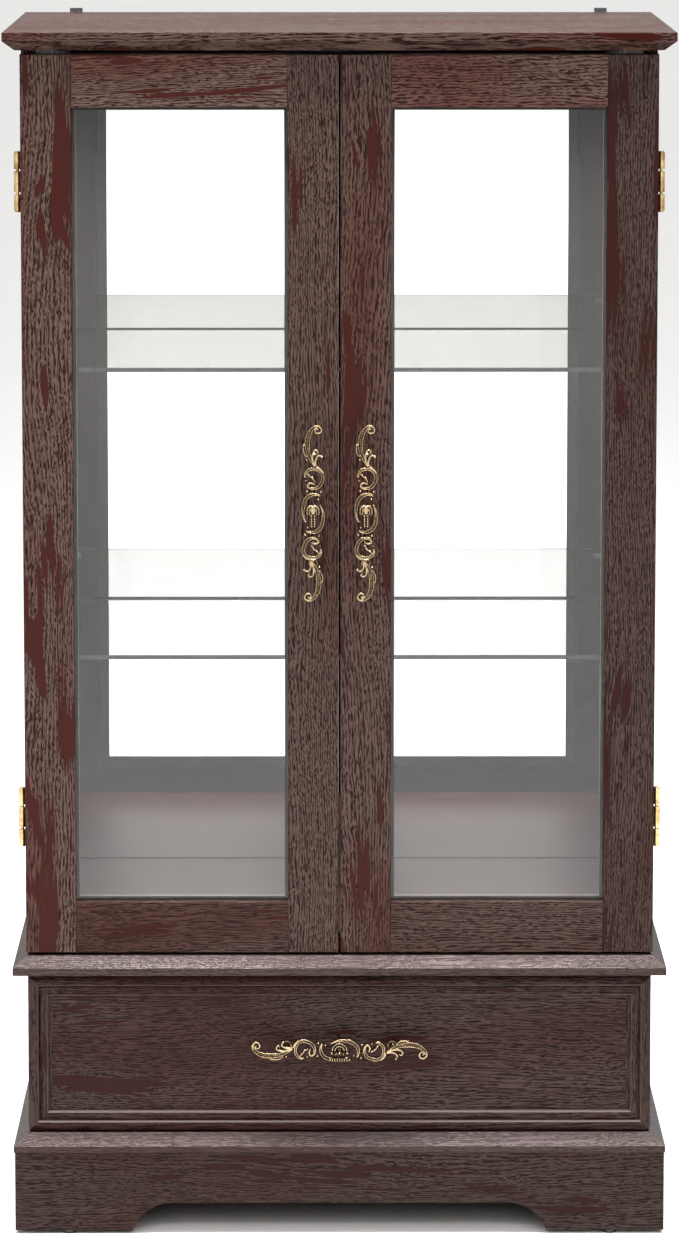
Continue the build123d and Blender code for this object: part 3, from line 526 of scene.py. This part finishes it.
def glass(name, tint):
    """Clear float glass with a trace of haze, which lets the lamps shine through."""
    material, tree, shader = surface(name)
    path = tree.add("LightPath")
    clear = tree.add("BsdfTransparent")
    mixed = tree.add("MixShader", {"Fac": path.outputs["Is Shadow Ray"]})
    tree.set(mixed.inputs[1], shader.outputs[0])
    tree.set(mixed.inputs[2], clear.outputs[0])
    tree.show(mixed)
    haze = tree.noise(tree.place(), 9.0, 3.0, ROUGH_NOISE)
    tree.set(shader.inputs["Base Color"], tree.ramp(haze, (0.3, tint), (0.7, (1.0, 1.0, 1.0))))
    tree.set(shader.inputs["Roughness"], tree.step(haze, 0.3, 0.8, 0.0, 0.008))
    shader.inputs["Transmission Weight"].default_value = 1.0
    shader.inputs["IOR"].default_value = GLASS_IOR
    return material


def silvered():
    """A mirror: silver seen through clear glass, darker close to its cut edge."""
    material, tree, shader = surface("mirror")
    low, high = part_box("mirror")
    middle, half = (low + high) / 2, (high - low) / 2
    split = tree.add("SeparateXYZ", {"Vector": tree.add("TexCoord").outputs["Object"]})
    insets = []
    for axis, centre, reach in (("X", middle.x, half.x), ("Z", middle.z, half.z)):
        distance = tree.from_middle(split.outputs[axis], centre)
        insets.append(tree.math("SUBTRACT", reach, distance))
    inset = tree.math("MINIMUM", *insets)
    ragged = tree.math("MULTIPLY", tree.noise(tree.place(), 700.0, 2.0), TARNISH_RAGGED)
    clean = tree.step(tree.math("ADD", inset, ragged), *TARNISH_EDGE)
    tree.set(shader.inputs["Base Color"], tree.colour_mix(clean, CUT_EDGE_GREY, SILVER))
    shader.inputs["Metallic"].default_value = 1.0
    tree.set(shader.inputs["Roughness"], tree.number_mix(clean, 0.12, 0.004))
    return material


door_glass = glass("clear_glass", DOOR_TINT)
shelf_glass = glass("shelf_glass", SHELF_TINT)
dress(["left_door_glass", "right_door_glass"], door_glass)
dress(["upper_glass_shelf", "lower_glass_shelf"], shelf_glass)
dress(["mirror"], silvered())


# ---- cast handles ----------------------------------------------------------------------------
# A casting is laid out in millimetres: v to the right, u up and w away from the wood. Its strokes
# stand between its back and its rims, and their sunk middles and the plates behind them lie lower.
CASTING_BACK = 16.2
CASTING_WEB = 19.3
CASTING_RIM = 21.2
BACK_TAPER, BACK_SHARE = 1.2, 0.82
RIM_WIDTH = 1.05
RIM_SHOULDER = 0.35
CHANNEL_DEPTH = 1.7
POST_PLACE = 48.0
BEAD_SIDES = 12
POST_SIDES = 28

# The strokes are fused into one skin of this fineness, which is then smoothed and thinned.
VOXEL = 0.36
RELAX_FACTOR, RELAX_ROUNDS = 0.5, 2
FACES_KEPT = 0.45


def smooth_path(points, steps=7):
    """A Catmull-Rom curve through given tuples of any length."""
    ends = [points[0], *points, points[-1]]
    path = []
    for before, start, end, after in zip(ends, ends[1:], ends[2:], ends[3:]):
        for step in range(steps):
            t = step / steps
            path.append(tuple(
                0.5 * (2 * p1 + (p2 - p0) * t + (2 * p0 - 5 * p1 + 4 * p2 - p3) * t * t
                       + (3 * p1 - p0 - 3 * p2 + p3) * t ** 3)
                for p0, p1, p2, p3 in zip(before, start, end, after)))
    path.append(points[-1])
    return path


def channel_section(half):
    """Half section points (offset, w) of a scroll: a raised rim with a sunk middle where it is wide."""
    rim = min(RIM_WIDTH, half)
    middle = half - rim
    sunk = CASTING_RIM - CHANNEL_DEPTH * middle / (middle + RIM_SHOULDER)
    return [
        (half * BACK_SHARE, CASTING_BACK),
        (half, CASTING_BACK + BACK_TAPER),
        (half, CASTING_WEB),
        (half - 0.2 * rim, CASTING_RIM - RIM_SHOULDER),
        (half - 0.5 * rim, CASTING_RIM),
        (half - 0.85 * rim, CASTING_RIM - RIM_SHOULDER),
        (middle, sunk),
    ]


def circle(v, u, radius, w, sides):
    """A level loop of points around (v, u)."""
    turns = [2 * math.pi * k / sides for k in range(sides)]
    return [(v + radius * math.cos(t), u + radius * math.sin(t), w) for t in turns]


def sweep(mesh, rows):
    """Join rows of closed loops into a capped tube."""
    rings = [[mesh.verts.new(point) for point in row] for row in rows]
    count = len(rings[0])
    for ring, following in zip(rings, rings[1:]):
        for i in range(count):
            j = (i + 1) % count
            mesh.faces.new((ring[i], ring[j], following[j], following[i]))
    mesh.faces.new(rings[0][::-1])
    mesh.faces.new(rings[-1])


def scroll(mesh, points, lift=0.0):
    """A scroll along (v, u, half width) points, with rims along both edges."""
    path = smooth_path(points)
    rows = []
    for i, (v, u, half) in enumerate(path):
        before, after = path[max(i - 1, 0)], path[min(i + 1, len(path) - 1)]
        along = Vector((after[0] - before[0], after[1] - before[1])).normalized()
        out = Vector((along.y, -along.x))
        right = channel_section(half)
        outline = right + [(-offset, w) for offset, w in reversed(right)]
        rows.append([(v + out.x * offset, u + out.y * offset, w + lift) for offset, w in outline])
    sweep(mesh, rows)


def bead(mesh, v, u, radius, height=CASTING_RIM - 0.4):
    """A round bead standing on a short stem."""
    levels = [(CASTING_BACK + 0.4, 0.7), (height - 0.5, 0.85)]
    levels += [(height + radius * math.sin(a), math.cos(a)) for a in (0.0, 0.5, 1.0, 1.35)]
    sweep(mesh, [circle(v, u, radius * share, w, BEAD_SIDES) for w, share in levels])


def turned(points, quarter_turns):
    """The same (v, u, ...) points turned about the middle by quarter turns."""
    for _ in range(quarter_turns):
        points = [(-p[1], p[0], *p[2:]) for p in points]
    return points


# One half of the casting; the other half is the same, turned about the middle by half a turn.
# Strokes have (v, u, half width) points.
TOP_SCROLL = [
    (1.6, 42.6, 0.9), (-2.2, 49.4, 1.5), (-4.6, 56.6, 2.2), (-5.0, 65.0, 2.5), (-3.5, 72.0, 2.3),
    (0.0, 77.2, 1.6), (4.4, 79.0, 1.15), (7.5, 76.4, 0.95), (6.3, 73.2, 0.9), (3.3, 72.7, 0.85),
    (1.7, 74.9, 0.8), (3.4, 76.6, 0.8), (4.8, 75.4, 0.75),
]
TENDRIL = [(-5.6, 51.2, 0.5), (-8.0, 55.0, 0.65), (-8.6, 59.0, 0.65), (-8.3, 62.0, 0.55)]
FIRST_LEAF = [
    (0.8, 45.0, 0.9), (-0.4, 50.0, 1.0), (-0.1, 55.2, 0.95), (2.2, 57.4, 0.85), (4.5, 56.0, 0.8),
    (3.2, 54.2, 0.7),
]
SECOND_LEAF = [(2.4, 43.0, 0.9), (2.2, 48.6, 1.0), (4.5, 52.4, 0.9), (7.6, 51.5, 0.9)]
KIDNEY = [
    (1.4, 26.4, 0.75), (-1.8, 27.6, 0.9), (-4.9, 26.0, 0.95), (-3.4, 23.3, 1.1), (0.9, 22.5, 1.35),
    (5.4, 24.6, 1.7), (8.2, 29.4, 1.7), (8.6, 34.6, 1.55), (5.6, 38.6, 1.4), (0.4, 40.2, 1.4),
    (-4.4, 39.0, 1.5), (-7.2, 35.4, 1.2), (-6.9, 32.6, 0.75),
]
KIDNEY_RIM = [(2.6, 42.0, 0.7), (6.0, 40.9, 0.75), (9.4, 37.4, 0.6)]
TONGUE = [(-5.6, 36.6, 0.5), (-3.4, 34.2, 0.7), (-0.4, 32.0, 0.8), (1.2, 29.0, 0.6)]
OVAL_SIDE = [
    (6.4, 16.0, 0.8), (1.8, 17.2, 1.3), (-3.4, 15.9, 1.8), (-7.2, 11.6, 1.9), (-8.9, 4.8, 1.6),
    (-8.6, -2.2, 1.2), (-6.2, -8.0, 0.8),
]
STROKES = (TOP_SCROLL, TENDRIL, FIRST_LEAF, SECOND_LEAF, KIDNEY, KIDNEY_RIM, TONGUE, OVAL_SIDE)

# Beads have (v, u, radius) points, and the small ones in the top scroll's channel lie along a curve.
SINGLE_BEADS = [
    (-5.6, 48.6, 1.0), (7.9, 51.3, 1.15), (-6.2, 29.6, 0.7), (-5.3, 20.2, 1.0), (7.0, 19.4, 1.0),
    (-3.5, 34.3, 0.9), (-0.4, 32.1, 0.95), (1.2, 29.0, 0.85), (-8.3, 62.2, 0.8), (4.8, 12.8, 0.9),
]
BEAD_ROW = [(-2.5, 74.2), (-4.3, 69.6), (-5.0, 64.8), (-4.6, 60.0)]
SMALL_BEAD = 0.72


def plate(mesh, half_length, height, half_width, lift):
    """A level bar behind the strokes, centred on the casting."""
    scroll(mesh, [(-half_length, height, half_width), (half_length, height, half_width)], lift)


def upright_shell(mesh):
    """The shell on a door's handle: a ribbed dome between curling fronds, over a column of beads."""
    for rib in (-1, 0, 1):
        scroll(mesh, [(0.3 * rib, -0.6, 0.8), (1.3 * rib, 3.2, 1.0), (0.7 * rib, 6.6, 0.7)], lift=1.2)
    for side in (-1, 1):
        for reach in (3.2, 5.4):
            top = (side * 0.7, 5.0 + 0.45 * reach, 0.6)
            shoulder = (side * reach * 0.8, 3.6 + 0.4 * reach, 0.85)
            tip = (side * reach, 0.2 + 0.1 * reach, 0.7)
            curl = (side * (reach - 1.2), -1.2, 0.6)
            scroll(mesh, [top, shoulder, tip, curl], lift=0.5)
    column_top, bead_step, bead_rows = -2.2, 2.3, 5
    column_foot = column_top - bead_step * (bead_rows - 1)
    for row in range(bead_rows):
        for v in (-1.25, 1.25):
            bead(mesh, v, column_top - bead_step * row, 1.12, CASTING_RIM + 0.1)
    for height in (column_top, column_foot):
        plate(mesh, 1.85, height, 1.2, lift=-0.8)
    scroll(mesh, [(0.0, 1.0, 1.4), (0.0, column_foot - 1.0, 1.4)], lift=-1.0)


def level_shell(mesh):
    """The shell on the drawer's handle: arches over a row of pearls, with a fluted band below."""
    for radius in (4.3, 6.7):
        angles = [math.pi * k / 8 for k in range(9)]
        arch = [(radius * math.cos(a), radius * math.sin(a) - 0.4, 0.62) for a in angles]
        scroll(mesh, arch, lift=0.3)
    large_pearl, small_pearl = (-2.6, 1.25), (-3.6, 0.85)
    for k in range(-2, 3):
        height, radius = small_pearl if k % 2 else large_pearl
        bead(mesh, 3.5 * k, height, radius)
    for k in range(-4, 5):
        scroll(mesh, [(2.2 * k, -7.0, 0.62), (2.2 * k + 0.3, -9.8, 0.62)], lift=0.9)
    plate(mesh, 7.6, 0.2, 3.2, lift=-2.2)
    plate(mesh, 8.2, -3.2, 1.3, lift=-1.6)
    plate(mesh, 9.4, -8.0, 1.2, lift=-0.8)
    scroll(mesh, [(0.0, 4.0, 1.4), (0.0, -8.0, 1.4)], lift=-2.0)


def post(mesh, v, u):
    """A turned post from the wood up to the casting."""
    profile = [
        (0.0, 4.5), (1.4, 4.6), (2.0, 4.2), (3.0, 3.0), (8.0, 2.6), (13.0, 2.9), (17.6, 3.2), (18.4, 2.4),
    ]
    sweep(mesh, [circle(v, u, radius, w, POST_SIDES) for w, radius in profile])


def casting(level):
    """The whole handle as one fused casting; level lays it on its side with the shell upright."""
    mesh = bmesh.new()
    bead_path = smooth_path(BEAD_ROW, steps=2)
    neck = [(1.0, 17.0, 1.6), (1.0, 23.4, 1.6)]
    for half_turn in (0, 2):
        for stroke in STROKES:
            scroll(mesh, turned(stroke, half_turn))
        for v, u, radius in turned(SINGLE_BEADS, half_turn):
            bead(mesh, v, u, radius)
        for v, u in turned(bead_path, half_turn):
            bead(mesh, v, u, SMALL_BEAD, CASTING_RIM - 1.1)
        for v, u in turned([(0.0, POST_PLACE)], half_turn):
            post(mesh, v, u)
        scroll(mesh, turned(neck, half_turn), lift=-1.6)
    if level:
        turn_all(mesh)
        level_shell(mesh)
    else:
        upright_shell(mesh)
    for side in (-1, 1):
        web = [(side * 0.6, 0.0, 1.3), (side * 8.6, -0.6 * side, 1.3)]
        scroll(mesh, turned(web, 1) if level else web, lift=-2.2)
    return fused(mesh)


def turn_all(mesh):
    """Turn the whole casting a quarter turn anticlockwise."""
    quarter_turn = Matrix.Rotation(math.pi / 2, 3, "Z")
    bmesh.ops.rotate(mesh, verts=mesh.verts, cent=(0, 0, 0), matrix=quarter_turn)


def fused(mesh):
    """One closed skin around all the overlapping strokes."""
    bmesh.ops.recalc_face_normals(mesh, faces=mesh.faces)
    strokes = bpy.data.meshes.new("strokes")
    mesh.to_mesh(strokes)
    mesh.free()
    holder = bpy.data.objects.new("strokes", strokes)
    scene.collection.objects.link(holder)
    remesh = holder.modifiers.new("fuse", "REMESH")
    remesh.mode = "VOXEL"
    remesh.voxel_size = VOXEL
    remesh.use_smooth_shade = True
    relax = holder.modifiers.new("relax", "SMOOTH")
    relax.factor = RELAX_FACTOR
    relax.iterations = RELAX_ROUNDS
    thin = holder.modifiers.new("thin", "DECIMATE")
    thin.ratio = FACES_KEPT
    graph = bpy.context.evaluated_depsgraph_get()
    skin = bpy.data.meshes.new_from_object(holder.evaluated_get(graph))
    bpy.data.objects.remove(holder)
    return skin


PATINA_STOPS = ((0.0, screen(26, 18, 12)), (0.55, screen(70, 53, 36)), (1.0, screen(164, 143, 113)))
HOLLOW_REACH = 3.0 * MM
RUBBED_EDGE = (0.62, 1.02)


def antique_brass():
    """Dark patina in the hollows, rubbed bright along the crests."""
    material, tree, shader = surface("antique_brass")
    patina = tree.noise(tree.place(), 520.0, 3.0, ROUGH_NOISE)
    hollow = tree.add("AmbientOcclusion", {"Distance": HOLLOW_REACH}, samples=8, only_local=True)
    uneven = tree.math("MULTIPLY", tree.math("SUBTRACT", patina, 0.5), 0.35)
    rubbed = tree.step(tree.math("ADD", hollow.outputs["AO"], uneven), *RUBBED_EDGE)
    tree.set(shader.inputs["Base Color"], tree.ramp(rubbed, *PATINA_STOPS))
    tree.set(shader.inputs["Roughness"], tree.number_mix(rubbed, 0.48, 0.22))
    shader.inputs["Metallic"].default_value = 1.0
    relief(tree, shader, patina, 0.25, 0.05 * MM)
    return material


def place_handle(name, skin, node, body):
    """Stand a casting where its CAD handle is, and let it take the handle's place."""
    low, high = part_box(node)
    middle = (low + high) / 2
    piece = bpy.data.objects.new(name, skin.copy())
    stand = Matrix.Translation((middle.x, high.y, middle.z)) @ Matrix.Rotation(math.pi / 2, 4, "X")
    piece.data.transform(stand @ Matrix.Scale(MM, 4))
    piece.data.materials.clear()
    piece.data.materials.append(cast_brass)
    scene.collection.objects.link(piece)
    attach(piece, body)
    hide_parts(node)


cast_brass = antique_brass()
upright_casting = casting(level=False)
place_handle("left_door_pull", upright_casting, "left_handle", "door_left")
place_handle("right_door_pull", upright_casting, "right_handle", "door_right")
place_handle("drawer_pull", casting(level=True), "drawer_handle", "drawer")
dress(["left_handle", "right_handle", "drawer_handle"], cast_brass)


# ---- floor, light and camera -----------------------------------------------------------------
FLOOR_REACH = 40.0
FLOOR_DARK, FLOOR_LIGHT = (0.93, 0.93, 0.93), (0.95, 0.95, 0.95)
STUDIO_WHITE = (1.0, 0.995, 0.985)
WARM_WHITE = (1.0, 0.955, 0.92)

# The camera looks slightly down from above the cabinet's top, with a long lens. A small shift keeps
# the cabinet's upright edges nearly parallel.
SENSOR_WIDTH = 36.0
LENS = 140.8
FRAME_SHIFT = -0.23
EYE_DISTANCE, EYE_ASIDE, EYE_HEIGHT = 4.38, -0.014, 1.341
LOOK_DOWN = math.radians(6.765)


def stage_floor():
    """A wide pale floor under the cabinet."""
    material, tree, shader = surface("studio_floor")
    tone = tree.noise(tree.place(), 1.2, 2.0)
    tree.set(shader.inputs["Base Color"], tree.ramp(tone, (0.3, FLOOR_DARK), (0.7, FLOOR_LIGHT)))
    shader.inputs["Roughness"].default_value = 0.9
    shader.inputs["Specular IOR Level"].default_value = 0.1
    mesh = bpy.data.meshes.new("studio_floor")
    corners = [(x * FLOOR_REACH, y * FLOOR_REACH, 0) for x, y in ((-1, -1), (1, -1), (1, 1), (-1, 1))]
    mesh.from_pydata(corners, [], [(0, 1, 2, 3)])
    mesh.materials.append(material)
    floor = bpy.data.objects.new("studio_floor", mesh)
    scene.collection.objects.link(floor)


def studio_world(front, side, back, right, zenith):
    """Soft light from all around: brightest behind and overhead, and dimmer on the right."""
    world = bpy.data.worlds.new("studio")
    scene.world = world
    tree = Nodes(world)
    direction = tree.add("SeparateXYZ", {"Vector": tree.add("TexCoord").outputs["Generated"]})
    backward = direction.outputs["Y"]
    level = tree.step(backward, -0.9, 0.0, front, side)
    level = tree.math("ADD", level, tree.step(backward, 0.1, 0.95, 0.0, back - side))
    level = tree.math("MULTIPLY", level, tree.step(direction.outputs["X"], 0.2, 0.9, 1.0, right))
    strength = tree.number_mix(tree.step(direction.outputs["Z"], 0.35, 0.95), level, zenith)
    background = tree.add("Background", {"Color": rgba(STUDIO_WHITE), "Strength": strength})
    tree.show(background, "OutputWorld")


def softbox(name, place, target, width, height, radiance, colour=(1.0, 1.0, 1.0)):
    """A rectangular soft light of a given brightness."""
    light = bpy.data.lights.new(name, "AREA")
    light.shape = "RECTANGLE"
    light.size = width
    light.size_y = height
    light.energy = radiance * math.pi * width * height
    light.color = colour
    lamp = bpy.data.objects.new(name, light)
    lamp.location = place
    lamp.rotation_euler = (Vector(target) - Vector(place)).to_track_quat("-Z", "Y").to_euler()
    scene.collection.objects.link(lamp)


def place_camera():
    """The camera in front of the doors."""
    camera = bpy.data.cameras.new("camera")
    camera.sensor_width = SENSOR_WIDTH
    camera.lens = LENS
    camera.shift_y = FRAME_SHIFT
    eye = bpy.data.objects.new("camera", camera)
    eye.location = (EYE_ASIDE, DOOR_FRONT - EYE_DISTANCE, EYE_HEIGHT)
    eye.rotation_euler = (math.pi / 2 - LOOK_DOWN, 0.0, math.atan(EYE_ASIDE / EYE_DISTANCE))
    scene.collection.objects.link(eye)
    scene.camera = eye


stage_floor()
studio_world(front=0.18, side=0.8, back=0.85, right=0.6, zenith=1.1)
softbox("top_light", (0.0, -0.46, 2.9), (0.0, -0.3, 0.4), 2.4, 0.5, radiance=54.0)
softbox("front_light", (0.0, -3.6, 3.1), (0.0, -0.16, 0.5), 2.4, 0.5, radiance=7.0)
softbox("floor_light", (0.0, -7.8, 3.2), (0.0, -7.8, 0.0), 8.0, 8.5, radiance=2.5, colour=WARM_WHITE)
place_camera()
